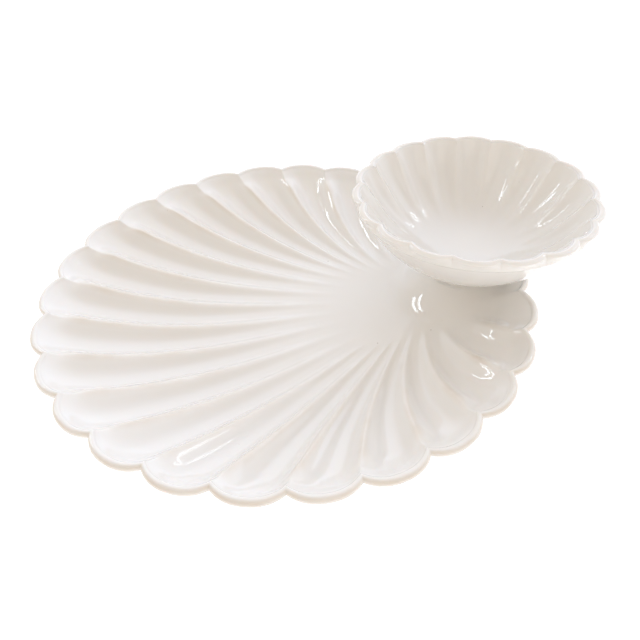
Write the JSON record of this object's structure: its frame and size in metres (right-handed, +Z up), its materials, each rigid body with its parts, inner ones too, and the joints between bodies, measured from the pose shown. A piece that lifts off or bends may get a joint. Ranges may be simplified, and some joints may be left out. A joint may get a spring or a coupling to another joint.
{
  "type": "chip and dip server",
  "caption": "Scallop-shell platter in glazed white earthenware with a low pedestal near its edge, on which a loose fluted dip bowl stands in a collared seat.",
  "frame": {"origin": "on the table surface, under the middle of the whole server's length", "axes": "+X from the middle of the platter towards the dip bowl, +Z up, the server symmetrical about the XZ plane"},
  "size_m": [0.3892, 0.349, 0.106],
  "materials": {
    "platter_glaze": "gloss glaze",
    "pedestal_glaze": "gloss glaze",
    "bowl_glaze": "gloss glaze"
  },
  "bodies": {
    "server": {"shell_platter": "platter_glaze", "bowl_pedestal": "pedestal_glaze"},
    "bowl": {"dip_bowl": "bowl_glaze"}
  },
  "joints": [
    {"name": "bowl_lift", "type": "slide", "parent": "server", "child": "bowl", "axis": [0, 0, 1], "range_m": [0, 0.08]}
  ]
}
